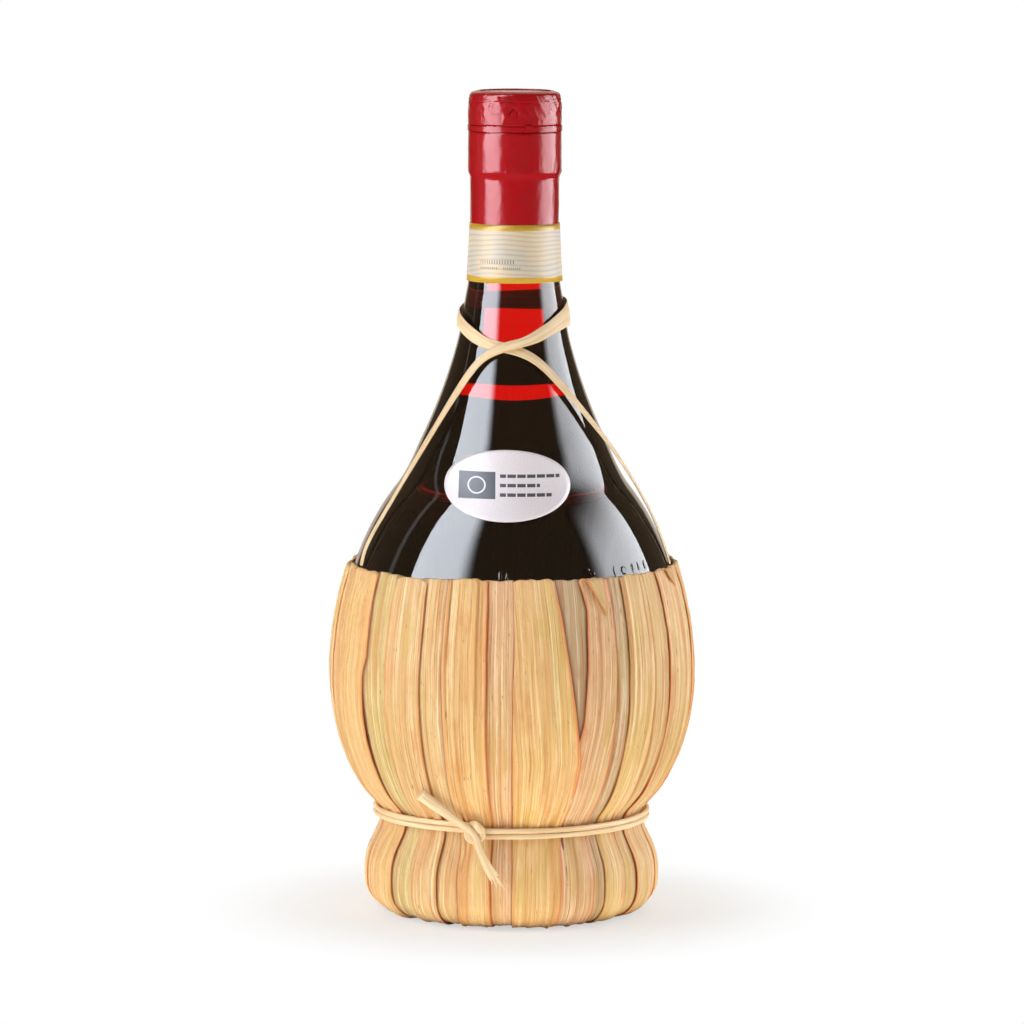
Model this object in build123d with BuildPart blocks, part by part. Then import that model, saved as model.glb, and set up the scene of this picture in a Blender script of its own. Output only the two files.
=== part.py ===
from build123d import *
from math import asin, cos, degrees, hypot, radians, sin, tan
import os

# A one litre flask of red wine with a round bulb, dressed in dried leaves
# Millimetres, +Z up, origin on the ground under the axis, front towards -Y
# An azimuth is counted from the front towards +X, in degrees

os.makedirs("parts", exist_ok=True)

# Glass bulb, its belly being the widest place
bulb_lift = 16.7
bulb_radius = 58.5
bulb_drop = 63.5
bulb_rise = 84.0
bulb_wall = 2.1
bulb_floor = 4.0
shoulder_share = 0.7476

# Glass neck, a cylinder that flares below the paper band, its places measured down from the mouth
mouth_height = 273.6
flare_drop = 61.6
flare_radius = 15.25
neck_drop = 43.6
neck_radius = 14.4
neck_wall = 2.8

# Glass finish, the thicker ring at the mouth
ring_drop = 27.8
ring_slope = 1.9
ring_radius = 15.2
mouth_rounding = 2.2
bore_radius = 9.25
bore_depth = 45.0
bore_flare = 7.0
mouth_bevel = 0.6

# Shoulder curve between bulb and flare, as shares of the way up and of the way in
shoulder_height_shares = (0.24, 0.475, 0.71, 0.90)
shoulder_radius_shares = (0.365, 0.650, 0.860, 0.955)

# Wine and cork
fill_depth = 58.0
wine_clearance = 0.08
cork_clearance = 0.05
cork_length = 42.0
cork_depth = 1.0
cork_bevel = 0.5

# Shrunk capsule over the mouth
capsule_clearance = 0.08
capsule_wall = 0.30
capsule_length = 55.6
capsule_turn_in = 3.4
disc_wall = 0.30
disc_clearance = 0.08
disc_margin = 1.0
tear_drop = 12.4
tear_width = 1.7
tear_wall = 0.46
tear_slit = 0.15
tab_azimuth = 17.5
tab_length = 2.6
tab_width = 2.2
tab_wall = 0.8

# Paper band round the neck, with its glued lap
band_drop = 62.2
band_width = 19.2
band_wall = 0.15
band_clearance = 0.05
band_lap_azimuth = 78.0
band_lap_length = 6.0

# Oval sticker on the shoulder
sticker_length = 44.0
sticker_width = 26.0
sticker_wall = 0.15
sticker_clearance = 0.05
sticker_rise = 66.4
sticker_reach = 37.4
sticker_offset = -2.3
sticker_tilt = 31.0

# Leaf dress outside the glass
dress_depth = 2.9
dress_low_depth = 4.4
leaf_wall = 1.2
leaf_gap = 0.1
rim_over_belly = 39.0
rim_rise = 2.2
hoop_drop = 3.6
hoop_radius = 0.6
waist_height = 33.5
waist_radius = 43.9
waist_blend_share = 0.545
foot_radius = 49.6
foot_rounding = 10.8
foot_side_height = 20.5
foot_side_inset = 0.8
base_hole_radius = 25.0
foot_ring_clearance = 0.2
bulb_seat_clearance = 0.3

# Width of each leaf, counted from the left of the front, and how far two leaves lap
leaf_start = -69.0
leaf_width_shares = (
    14, 13, 10.5, 11, 11, 11.5, 10, 12, 9, 8, 8, 11, 10, 12, 11, 13,
    10.5, 12.5, 11, 9.5, 13, 12, 10.5, 12, 13.5, 10, 11.5, 12.5, 11, 10.5, 13, 12,
)
leaf_lap_share = 0.13

# Raffia round the waist
raffia_radius = 0.7
waist_tie_turns = 2
waist_tie_pitch = 1.86
waist_tie_clearance = 0.9
waist_tie_azimuth = -14.0
knot_radius = 2.6
knot_clearance = 0.3
tail_radius = 0.8

# Raffia strap, from the left of the rim once round the neck to the right of the rim
strap_radius = 0.9
strap_route = (
    (-50.2, -17.3, 121.0),
    (-46.8, -17.4, 127.8),
    (-41.2, -17.5, 137.5),
    (-33.9, -17.3, 150.0),
    (-26.2, -17.2, 163.2),
    (-18.6, -18.0, 176.0),
    (-11.6, -20.2, 186.6),
    (-4.4, -22.9, 192.6),
    (5.4, -21.0, 196.2),
    (13.9, -14.2, 198.8),
    (19.0, -2.8, 200.8),
    (16.3, 9.8, 202.2),
    (7.2, 17.7, 202.9),
    (-4.6, 18.4, 202.6),
    (-14.6, 12.4, 201.6),
    (-19.0, 1.9, 199.9),
    (-17.6, -9.6, 197.0),
    (-9.6, -18.4, 192.6),
    (0.6, -21.3, 188.6),
    (9.2, -21.0, 184.4),
    (17.2, -18.4, 176.6),
    (25.6, -15.0, 166.3),
    (33.3, -12.0, 156.2),
    (40.3, -10.0, 145.2),
    (46.3, -9.0, 134.4),
    (50.4, -8.2, 125.0),
)
bend_share = 0.45

# One overrun serves every cut
overrun = 1.0

# Spans that draw each part of an ellipse, points on which a gap is measured, and the part of a route that
# lies too near to a point to count
arc_span_count = 6
gap_point_count = 600
gap_skip_share = 0.1

# Places that follow from the sizes
belly_height = bulb_lift + bulb_drop
flare_height = mouth_height - flare_drop
neck_height = mouth_height - neck_drop
ring_height = mouth_height - ring_drop
capsule_bottom = mouth_height - capsule_length
tear_height = mouth_height - tear_drop
band_bottom = mouth_height - band_drop
sticker_height = belly_height + sticker_rise
dress_drop = bulb_drop + dress_low_depth
rim_height = belly_height + rim_over_belly


def outward(azimuth):
    """Unit vector that points away from the axis at an azimuth."""
    return Vector(sin(radians(azimuth)), -cos(radians(azimuth)), 0)


def meridian(azimuth=90):
    """Plane through the axis at an azimuth, with the radius as its x and the height as its y."""
    direction = outward(azimuth)
    return Plane(origin=(0, 0, 0), x_dir=direction, z_dir=direction.cross(Vector(0, 0, 1)))


def neck_outside(height):
    """Glass radius between the flare and the ring."""
    if height >= neck_height:
        return neck_radius
    share = (neck_height - height) / (neck_height - flare_height)
    return neck_radius + share * (flare_radius - neck_radius)


def ellipse_point(radius, rise, angle):
    """Point of the bulb's ellipse and its direction of travel, from the belly up."""
    turn = radians(angle)
    point = Vector(radius * cos(turn), belly_height + rise * sin(turn))
    direction = Vector(-radius * sin(turn), rise * cos(turn)).normalized()
    return point, direction


def ellipse_line(radius, rise, start, end):
    """Part of the bulb's ellipse between two angles, with its directions at both ends."""
    sweep = end - start
    stations = [start + sweep * step / arc_span_count for step in range(arc_span_count + 1)]
    places = [ellipse_point(radius, rise, station) for station in stations]
    Spline(*[point for point, direction in places], tangents=(places[0][1], places[-1][1]))


def bulb_line(depth, drop_depth):
    """Glass bulb and shoulder up to the flare, a depth inside the outer surface."""
    radius = bulb_radius - depth
    top_angle = degrees(asin(shoulder_share))
    ellipse_line(radius, bulb_drop - drop_depth, -90, -45)
    ellipse_line(radius, bulb_drop - drop_depth, -45, 0)
    ellipse_line(radius, bulb_rise - depth, 0, top_angle)
    start, direction = ellipse_point(radius, bulb_rise - depth, top_angle)
    end = Vector(flare_radius - depth, flare_height)
    points = [start]
    for rise_share, inset_share in zip(shoulder_height_shares, shoulder_radius_shares):
        across = start.X + inset_share * (end.X - start.X)
        points.append(Vector(across, start.Y + rise_share * (end.Y - start.Y)))
    points.append(end)
    flare = Vector(neck_radius - flare_radius, neck_height - flare_height).normalized()
    Spline(*points, tangents=(direction, flare))
    return end


cavity_top = mouth_height - bore_depth
cavity_bottom = belly_height - bulb_drop + bulb_floor


def cavity_outline(clearance):
    """Closed half outline of the space inside the glass, shrunk by a clearance."""
    end = bulb_line(bulb_wall + clearance, bulb_floor + clearance)
    throat = Vector(neck_radius - neck_wall - clearance, cavity_top - bore_flare)
    bore = Vector(bore_radius - clearance, cavity_top)
    top = Vector(bore.X, mouth_height + overrun)
    Polyline(end, throat, bore, top, (0, top.Y), (0, cavity_bottom + clearance))


# Glass flask, made whole
with BuildPart() as glass_flask:
    with BuildSketch(meridian()):
        with BuildLine():
            shoulder_end = bulb_line(0, 0)
            rim = FilletPolyline(
                (ring_radius, ring_height + ring_slope),
                (ring_radius, mouth_height),
                (bore_radius, mouth_height),
                radius=mouth_rounding,
            )
            Polyline(shoulder_end, (neck_radius, neck_height), (neck_radius, ring_height), rim @ 0)
            Polyline(rim @ 1, (0, mouth_height), (0, belly_height - bulb_drop))
        make_face()
    revolve(axis=Axis.Z)
    with BuildSketch(meridian()):
        with BuildLine():
            cavity_outline(0)
        make_face()
    revolve(axis=Axis.Z, mode=Mode.SUBTRACT)
    mouth_edges = glass_flask.edges().filter_by(GeomType.CIRCLE).group_by(Axis.Z)[-1]
    chamfer(mouth_edges.sort_by(SortBy.RADIUS)[0], mouth_bevel)

# Its bulb, shoulder and neck are cut apart on flat faces, where the ellipse ends and where the flare ends
shoulder_height = belly_height + bulb_rise * shoulder_share
for name, low, high in (
    ("glass_bulb", 0, shoulder_height),
    ("glass_shoulder", shoulder_height, flare_height),
    ("glass_neck", flare_height, mouth_height + overrun),
):
    with BuildPart() as piece:
        add(glass_flask.part)
        split(bisect_by=Plane.XY.offset(high), keep=Keep.BOTTOM)
        split(bisect_by=Plane.XY.offset(low), keep=Keep.TOP)
    piece.part.label = name
    export_step(piece.part, f"parts/{name}.step")

# Wine up to its fill line
fill_height = mouth_height - fill_depth
with BuildPart() as wine_fill:
    with BuildSketch(meridian()):
        with BuildLine():
            cavity_outline(wine_clearance)
        make_face()
    revolve(axis=Axis.Z)
    split(bisect_by=Plane.XY.offset(fill_height), keep=Keep.BOTTOM)
wine_fill.part.label = "wine_fill"
export_step(wine_fill.part, "parts/wine_fill.step")
print("wine, litres:", round(wine_fill.part.volume / 1e6, 4))

# Cork, a running fit in the bore
cork_top = mouth_height - cork_depth
with BuildPart() as cork:
    with BuildSketch(Plane.XY.offset(cork_top - cork_length)):
        Circle(bore_radius - cork_clearance)
    extrude(amount=cork_length)
    chamfer(cork.edges().filter_by(GeomType.CIRCLE), cork_bevel)
cork.part.label = "cork"
export_step(cork.part, "parts/cork.step")

# Capsule sleeve below the tear strip, shrunk on the ring and on the neck
sleeve_inside = ring_radius + capsule_clearance
sleeve_outside = sleeve_inside + capsule_wall


def skirt_line(depth):
    """Sleeve line over neck, slope and ring, a depth outside the glass."""
    Polyline(
        (neck_outside(capsule_bottom) + depth, capsule_bottom),
        (neck_radius + depth, neck_height),
        (neck_radius + depth, ring_height),
        (ring_radius + depth, ring_height + ring_slope),
        (ring_radius + depth, tear_height - tear_slit),
    )


with BuildPart() as capsule_skirt:
    with BuildSketch(meridian()):
        with BuildLine():
            skirt_line(capsule_clearance)
            skirt_line(capsule_clearance + capsule_wall)
            for level, across in (
                (capsule_bottom, neck_outside(capsule_bottom)),
                (tear_height - tear_slit, ring_radius),
            ):
                Line(
                    (across + capsule_clearance, level),
                    (across + capsule_clearance + capsule_wall, level),
                )
        make_face()
    revolve(axis=Axis.Z)
capsule_skirt.part.label = "capsule_skirt"
export_step(capsule_skirt.part, "parts/capsule_skirt.step")

# Tear strip, a raised ring with the tab that is pulled
with BuildPart() as tear_strip:
    with BuildSketch(Plane.XY.offset(tear_height)):
        Circle(sleeve_inside + tear_wall)
        Circle(sleeve_inside, mode=Mode.SUBTRACT)
    extrude(amount=tear_width)
    tab_plane = Plane(
        origin=outward(tab_azimuth) * (sleeve_inside + tear_wall / 2) + Vector(0, 0, tear_height),
        x_dir=outward(tab_azimuth + 90),
        z_dir=(0, 0, 1),
    )
    with BuildSketch(tab_plane):
        Rectangle(tab_length, tab_wall, align=(Align.CENTER, Align.MAX))
    extrude(amount=tab_width)
    with BuildSketch(Plane.XY.offset(tear_height)):
        Circle(sleeve_inside)
    extrude(amount=tab_width + overrun, mode=Mode.SUBTRACT)
    with BuildSketch(Plane.XY.offset(tear_height + tear_width)):
        Circle(sleeve_outside + tear_slit)
    extrude(amount=tab_width, mode=Mode.SUBTRACT)
tear_strip.part.label = "tear_strip"
export_step(tear_strip.part, "parts/tear_strip.step")

# Capsule cap above the tear strip, rounded over the rim and turned in on the top disc
cap_bottom = tear_height + tear_width + tear_slit
disc_bottom = mouth_height + disc_clearance
cap_top_inside = disc_bottom + disc_wall + disc_clearance
cap_top = cap_top_inside + capsule_wall
turn_in_radius = sleeve_outside - capsule_turn_in
with BuildPart() as capsule_cap:
    with BuildSketch(meridian()):
        with BuildLine():
            outer = FilletPolyline(
                (sleeve_outside, cap_bottom),
                (sleeve_outside, cap_top),
                (turn_in_radius, cap_top),
                radius=mouth_rounding,
            )
            inner = FilletPolyline(
                (sleeve_inside, cap_bottom),
                (sleeve_inside, cap_top_inside),
                (turn_in_radius, cap_top_inside),
                radius=mouth_rounding - capsule_wall,
            )
            Line(outer @ 0, inner @ 0)
            Line(outer @ 1, inner @ 1)
        make_face()
    revolve(axis=Axis.Z)
capsule_cap.part.label = "capsule_cap"
export_step(capsule_cap.part, "parts/capsule_cap.step")

# Top disc, held under the turned in edge
with BuildPart() as capsule_disc:
    with BuildSketch(Plane.XY.offset(disc_bottom)):
        Circle(turn_in_radius + disc_margin)
    extrude(amount=disc_wall)
capsule_disc.part.label = "capsule_disc"
export_step(capsule_disc.part, "parts/capsule_disc.step")

# Paper band, a cone over the capsule's edge, with a second thickness where it laps
band_top = band_bottom + band_width
band_offset = capsule_clearance + capsule_wall + band_clearance


def band_corner(height, depth):
    """Point of the band's section at a height, a depth outside its inner face."""
    slope = (flare_radius - neck_radius) / (neck_height - flare_height)
    return (neck_radius + slope * (neck_height - height) + band_offset + depth, height)


def band_line(depth):
    """Closed section of one thickness of the band, a depth outside its inner face."""
    Polyline(
        band_corner(band_bottom, depth),
        band_corner(band_bottom, depth + band_wall),
        band_corner(band_top, depth + band_wall),
        band_corner(band_top, depth),
        close=True,
    )


with BuildPart() as neck_band:
    with BuildSketch(meridian()):
        with BuildLine():
            band_line(0)
        make_face()
    revolve(axis=Axis.Z)
    with BuildSketch(meridian(band_lap_azimuth)):
        with BuildLine():
            band_line(band_wall)
        make_face()
    revolve(axis=Axis.Z, revolution_arc=degrees(band_lap_length / flare_radius))
neck_band.part.label = "neck_band"
export_step(neck_band.part, "parts/neck_band.step")

# Oval sticker, a slice of a thin skin over the shoulder
sticker_plane = Plane(
    origin=(sticker_offset, -sticker_reach, sticker_height),
    x_dir=(1, 0, 0),
    z_dir=(0, -cos(radians(sticker_tilt)), sin(radians(sticker_tilt))),
)
with BuildPart() as oval_sticker:
    for depth, action in (
        (sticker_clearance + sticker_wall, Mode.ADD),
        (sticker_clearance, Mode.SUBTRACT),
    ):
        with BuildSketch(meridian()):
            with BuildLine():
                end = bulb_line(-depth, -depth)
                Polyline(end, (0, end.Y), (0, belly_height - bulb_drop - depth))
            make_face()
        revolve(axis=Axis.Z, mode=action)
    with BuildSketch(sticker_plane):
        Ellipse(sticker_length / 2, sticker_width / 2)
    extrude(amount=sticker_width, both=True, mode=Mode.INTERSECT)
oval_sticker.part.label = "oval_sticker"
export_step(oval_sticker.part, "parts/oval_sticker.step")


def dress_line(depth, top):
    """Leaf line from under the foot to a height at the rim, a depth inside the dress."""
    corner_radius = foot_radius - foot_rounding
    Line((base_hole_radius, depth), (corner_radius, depth))
    CenterArc((corner_radius, foot_rounding), foot_rounding - depth, -90, 90)
    radius = bulb_radius + dress_depth - depth
    drop = dress_drop - depth
    rise = bulb_rise + dress_depth - depth
    low_angle = -degrees(asin(waist_blend_share))
    blend, direction = ellipse_point(radius, drop, low_angle)
    Spline(
        (foot_radius - depth, foot_rounding),
        (foot_radius - foot_side_inset - depth, foot_side_height),
        (waist_radius - depth, waist_height),
        blend,
        tangents=((0, 1), direction),
    )
    ellipse_line(radius, drop, low_angle, 0)
    top_angle = degrees(asin((top - belly_height) / rise))
    ellipse_line(radius, rise, 0, top_angle)
    return ellipse_point(radius, rise, top_angle)[0]


def make_leaf(start, sweep, depth, top):
    """One leaf from under the foot to the rim."""
    with BuildPart() as leaf:
        with BuildSketch(meridian(start)):
            with BuildLine():
                outer_end = dress_line(depth, top)
                inner_end = dress_line(depth + leaf_wall, top)
                Line(outer_end, inner_end)
                Line((base_hole_radius, depth), (base_hole_radius, depth + leaf_wall))
            make_face()
        revolve(axis=Axis.Z, revolution_arc=sweep)
    return leaf


# Leaves, every second one lying under its two neighbours and ending below the rim hoop
leaf_step = leaf_wall + leaf_gap
share_angle = 360 / sum(leaf_width_shares)
azimuth = leaf_start
for index, share in enumerate(leaf_width_shares):
    width = share * share_angle
    lap = leaf_lap_share * width
    under = index % 2
    top = rim_height + rim_rise * sin(radians(azimuth + width / 2))
    if under:
        top = rim_height - hoop_drop
    leaf = make_leaf(azimuth - lap, width + 2 * lap, under * leaf_step, top)
    leaf.part.label = f"straw_leaf_{index + 1:02d}"
    export_step(leaf.part, f"parts/straw_leaf_{index + 1:02d}.step")
    azimuth += width

# Rim hoop on top of the under leaves, inside the others
hoop_height = rim_height - hoop_drop + hoop_radius + leaf_gap
hoop_angle = asin((hoop_height - belly_height) / (bulb_rise + dress_depth - leaf_wall))
hoop_path_radius = (bulb_radius + dress_depth - leaf_wall) * cos(hoop_angle) - hoop_radius - 2 * leaf_gap
with BuildPart() as rim_hoop:
    with BuildSketch(meridian()):
        with Locations((hoop_path_radius, hoop_height)):
            Circle(hoop_radius)
    revolve(axis=Axis.Z)
rim_hoop.part.label = "rim_hoop"
export_step(rim_hoop.part, "parts/rim_hoop.step")

# Foot ring of twisted leaf ends, as thick as the space between the foot's leaves and the bulb that it carries
dress_stack = 2 * leaf_wall + leaf_gap + foot_ring_clearance


def room_for_ring(tube_radius):
    """Space between the bulb and a ring that lies against the foot's leaves."""
    centre = Vector(foot_radius - dress_stack - tube_radius, dress_stack + tube_radius)
    angles = [-90 * step / gap_point_count for step in range(gap_point_count + 1)]
    distances = [(ellipse_point(bulb_radius, bulb_drop, angle)[0] - centre).length for angle in angles]
    return min(distances) - tube_radius - bulb_seat_clearance


least_radius, foot_ring_radius = 0, foot_radius / 2
while foot_ring_radius - least_radius > leaf_gap / gap_point_count:
    middle_radius = (least_radius + foot_ring_radius) / 2
    if room_for_ring(middle_radius) > 0:
        least_radius = middle_radius
    else:
        foot_ring_radius = middle_radius
print("foot ring radius:", round(foot_ring_radius, 2))
with BuildPart() as foot_ring:
    with BuildSketch(meridian()):
        with Locations((foot_radius - dress_stack - foot_ring_radius, dress_stack + foot_ring_radius)):
            Circle(foot_ring_radius)
    revolve(axis=Axis.Z)
foot_ring.part.label = "foot_ring"
export_step(foot_ring.part, "parts/foot_ring.step")

# Waist tie, wound on tilted half turns that meet end to end
tie_path_radius = waist_radius + waist_tie_clearance + raffia_radius
tie_bottom = waist_height - waist_tie_turns * waist_tie_pitch / 2
with BuildPart() as waist_tie:
    with BuildLine() as tie_path:
        for half_turn in range(2 * waist_tie_turns):
            bearing = waist_tie_azimuth + 180 * half_turn
            level = tie_bottom + waist_tie_pitch / 2 * half_turn
            middle = outward(bearing + 90) * hypot(tie_path_radius, waist_tie_pitch / 4)
            ThreePointArc(
                outward(bearing) * tie_path_radius + Vector(0, 0, level),
                middle + Vector(0, 0, level + waist_tie_pitch / 4),
                outward(bearing + 180) * tie_path_radius + Vector(0, 0, level + waist_tie_pitch / 2),
            )
    with BuildSketch(Plane(origin=tie_path.line @ 0, z_dir=tie_path.line % 0)):
        Circle(raffia_radius)
    sweep()
waist_tie.part.label = "waist_tie"
export_step(waist_tie.part, "parts/waist_tie.step")


def least_gap(curve, radius):
    """Least clear distance of a tube to itself, on points that lie apart along it."""
    skipped = round(gap_skip_share * gap_point_count)
    points = [curve @ (step / gap_point_count) for step in range(gap_point_count + 1)]
    gaps = [
        (points[i] - points[j]).length - 2 * radius
        for i in range(len(points))
        for j in range(i + skipped, len(points))
    ]
    return min(gaps)


print("waist tie gap:", round(least_gap(tie_path.line, raffia_radius), 3))

# Waist knot, a tight ball over the tie with its two loose tails
knot_distance = tie_path_radius + raffia_radius + knot_clearance + knot_radius
knot_centre = outward(waist_tie_azimuth) * knot_distance + Vector(0, 0, waist_height)


def tail_route(points):
    """Route of both tails through the knot, as steps sideways, outwards and up."""
    side = outward(waist_tie_azimuth + 90)
    out = outward(waist_tie_azimuth)
    return [knot_centre + side * a + out * b + Vector(0, 0, c) for a, b, c in points]


def bend_radii(points, share):
    """Largest arcs that the runs of a route allow."""
    radii = []
    for before, here, after in zip(points, points[1:], points[2:]):
        arriving = here - before
        leaving = after - here
        turn = radians(arriving.get_angle(leaving))
        radii.append(share * min(arriving.length, leaving.length) / tan(turn / 2))
    return radii


tail_steps = (
    (-17.2, 4.6, 12.6),
    (-12.0, 2.2, 8.2),
    (-6.0, 1.2, 3.8),
    (0.0, 0.6, 0.0),
    (1.8, 1.8, -4.8),
    (4.2, 2.6, -9.6),
    (7.4, 2.6, -14.4),
)
tail_points = tail_route(tail_steps)
with BuildPart() as waist_knot:
    with Locations(knot_centre):
        Sphere(knot_radius)
    with BuildLine() as tail_path:
        FilletPolyline(*tail_points, radius=bend_radii(tail_points, bend_share))
    with BuildSketch(Plane(origin=tail_path.line @ 0, z_dir=tail_path.line % 0)):
        Circle(tail_radius)
    sweep(path=tail_path.line)
waist_knot.part.label = "waist_knot"
export_step(waist_knot.part, "parts/waist_knot.step")

# Neck strap, one strand that the rim holds at both ends
strap_points = [Vector(*place) for place in strap_route]
strap_bends = bend_radii(strap_points, bend_share)
with BuildPart() as neck_strap:
    with BuildLine() as strap_path:
        FilletPolyline(*strap_points, radius=strap_bends)
    with BuildSketch(Plane(origin=strap_path.line @ 0, z_dir=strap_path.line % 0)):
        Circle(strap_radius)
    sweep(path=strap_path.line)
neck_strap.part.label = "neck_strap"
export_step(neck_strap.part, "parts/neck_strap.step")
print("strap radii:", [round(bend, 1) for bend in strap_bends])
print("strap length:", round(sum(edge.length for edge in strap_path.edges()), 1))
print("strap gap:", round(least_gap(strap_path.line, strap_radius), 3))
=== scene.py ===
from math import asin, atan2, cos, degrees, exp, hypot, pi, radians, sin, sqrt, tan

import bpy
import numpy as np
from mathutils import Matrix, Vector, noise
from mathutils.bvhtree import BVHTree


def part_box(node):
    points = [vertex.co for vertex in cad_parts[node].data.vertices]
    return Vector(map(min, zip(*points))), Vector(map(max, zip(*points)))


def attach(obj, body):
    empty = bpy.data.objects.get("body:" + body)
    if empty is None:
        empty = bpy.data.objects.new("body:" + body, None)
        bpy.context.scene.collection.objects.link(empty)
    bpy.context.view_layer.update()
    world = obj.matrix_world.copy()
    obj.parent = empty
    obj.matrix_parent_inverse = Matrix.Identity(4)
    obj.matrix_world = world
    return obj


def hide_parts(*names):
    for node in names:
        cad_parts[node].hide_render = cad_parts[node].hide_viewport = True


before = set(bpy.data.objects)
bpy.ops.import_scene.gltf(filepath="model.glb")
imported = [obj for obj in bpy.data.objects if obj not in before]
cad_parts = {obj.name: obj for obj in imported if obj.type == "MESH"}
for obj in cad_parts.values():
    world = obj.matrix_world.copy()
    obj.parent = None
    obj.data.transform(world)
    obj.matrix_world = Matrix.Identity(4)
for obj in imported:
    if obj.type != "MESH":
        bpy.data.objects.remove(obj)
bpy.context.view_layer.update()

# Lengths are in millimetres until a mesh is made
MM = 0.001

# Glass, as in the solid
BELLY_HEIGHT = 80.2
BULB_RADIUS = 58.5
BULB_DROP = 63.5
BULB_RISE = 84.0
BULB_WALL = 2.1
BULB_FLOOR = 4.0
SHOULDER_SHARE = 0.7476
FLARE_HEIGHT = 212.0
FLARE_RADIUS = 15.25
NECK_HEIGHT = 230.0
NECK_RADIUS = 14.4
NECK_WALL = 2.8
RING_HEIGHT = 245.8
RING_SLOPE = 1.9
RING_RADIUS = 15.2
MOUTH_HEIGHT = 273.6
MOUTH_ROUNDING = 2.2
LIP_ROUNDING = 0.6
BORE_RADIUS = 9.25
BORE_DEPTH = 45.0
BORE_FLARE = 7.0
FILL_DEPTH = 58.0
SHOULDER_HEIGHT_SHARES = (0.24, 0.475, 0.71, 0.90)
SHOULDER_RADIUS_SHARES = (0.365, 0.650, 0.860, 0.955)

# Leaf dress, as in the solid
LEAF_START = -69.0
LEAF_WIDTH_SHARES = (
    14, 13, 10.5, 11, 11, 11.5, 10, 12, 9, 8, 8, 11, 10, 12, 11, 13,
    10.5, 12.5, 11, 9.5, 13, 12, 10.5, 12, 13.5, 10, 11.5, 12.5, 11, 10.5, 13, 12,
)
RIM_HEIGHT = 119.2
RIM_RISE = 2.2
WAIST_HEIGHT = 33.5


def srgb(red, green, blue):
    """Linear colour of a display colour given from 0 to 255."""
    values = []
    for value in (red, green, blue):
        value /= 255
        values.append(value / 12.92 if value <= 0.04045 else ((value + 0.055) / 1.055) ** 2.4)
    return values


def outward(azimuth):
    """Unit vector away from the axis at an azimuth in degrees, counted from the front to the right."""
    return Vector((sin(radians(azimuth)), -cos(radians(azimuth)), 0))


def spot_at(azimuth, radius, height):
    """Point at an azimuth, a distance from the axis and a height."""
    spot = outward(azimuth) * radius
    return spot.x, spot.y, height


def wobble(x, y, z):
    """Smooth noise between about -1 and 1."""
    return noise.noise(Vector((x, y, z)))


def smooth_step(value):
    """Eases from 0 to 1."""
    value = min(max(value, 0.0), 1.0)
    return value * value * (3 - 2 * value)


def make_object(name, verts, faces, smooth=True):
    """Mesh object from points in millimetres."""
    mesh = bpy.data.meshes.new(name)
    mesh.from_pydata([tuple(MM * c for c in v) for v in verts], [], faces)
    mesh.validate()
    mesh.update()
    if smooth:
        mesh.polygons.foreach_set("use_smooth", [True] * len(mesh.polygons))
    piece = bpy.data.objects.new(name, mesh)
    bpy.context.scene.collection.objects.link(piece)
    return piece


def grid_faces(rows, closed=False, flip=False):
    """Faces between rows of point numbers; closed joins a row's end to its start, flip turns the faces over."""
    faces = []
    for low, high in zip(rows, rows[1:]):
        for k in range(len(low) if closed else len(low) - 1):
            after = (k + 1) % len(low)
            faces.append((low[k], high[k], high[after], low[after]) if flip else
                         (low[k], low[after], high[after], high[k]))
    return faces


def numbered_rows(count, size, start=0):
    """Rows of point numbers that follow on one another."""
    return [list(range(start + i * size, start + (i + 1) * size)) for i in range(count)]


def disc_places(rings, spokes):
    """Share of the radius and angle of each point of a round patch, its middle first."""
    return [(ring / rings, 2 * pi * k / spokes)
            for ring in range(rings + 1) for k in range(spokes if ring else 1)]


def disc_faces(base, rings, spokes):
    """Faces of a round patch whose first point has the number base."""
    middle = [(base, base + 1 + k, base + 1 + (k + 1) % spokes) for k in range(spokes)]
    return middle + grid_faces(numbered_rows(rings, spokes, base + 1), True, True)


def lathe(name, outline, segments=256, shift=None):
    """Closed solid of revolution from an outline of radius and height; shift moves a point outwards."""
    verts, rows = [], []
    for radius, height in outline:
        if radius < 1e-6:
            rows.append([len(verts)] * segments)
            verts.append((0, 0, height))
            continue
        rows.append(list(range(len(verts), len(verts) + segments)))
        for step in range(segments):
            azimuth = 360 * step / segments
            verts.append(spot_at(azimuth, radius + (shift(azimuth, radius, height) if shift else 0), height))
    faces = [tuple(dict.fromkeys(face)) for face in grid_faces(rows + rows[:1], True)]
    return make_object(name, verts, [face for face in faces if len(face) > 2])


def add_values(piece, **layers):
    """Point attributes of a mesh, each with one, three or four numbers for a point."""
    for name, values in layers.items():
        values = np.asarray(values, dtype=np.float32)
        kind, key = {1: ("FLOAT", "value"), 3: ("FLOAT_VECTOR", "vector"),
                     4: ("FLOAT_COLOR", "color")}[values.size // len(values)]
        piece.data.attributes.new(name, kind, "POINT").data.foreach_set(key, values.ravel())


def make_sheet(name, verts, size, flip=False, smooth=True, **layers):
    """Open sheet with its attributes, from rows of points that have the same number of points each."""
    sheet = make_object(name, verts, grid_faces(numbered_rows(len(verts) // size, size), False, flip), smooth)
    add_values(sheet, **layers)
    return sheet


def settle(piece, look, slot, *nodes, body="flask"):
    """Gives a piece its material and the body it rides on, and hides the nodes that it stands for; its slot is not
    used.
    """
    piece.data.materials.append(look)
    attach(piece, body)
    if nodes:
        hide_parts(*nodes)


def add_ply(piece, thickness, offset=0.0):
    """Gives a sheet its thickness."""
    ply = piece.modifiers.new("ply", "SOLIDIFY")
    ply.thickness = thickness * MM
    ply.offset = offset


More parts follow.
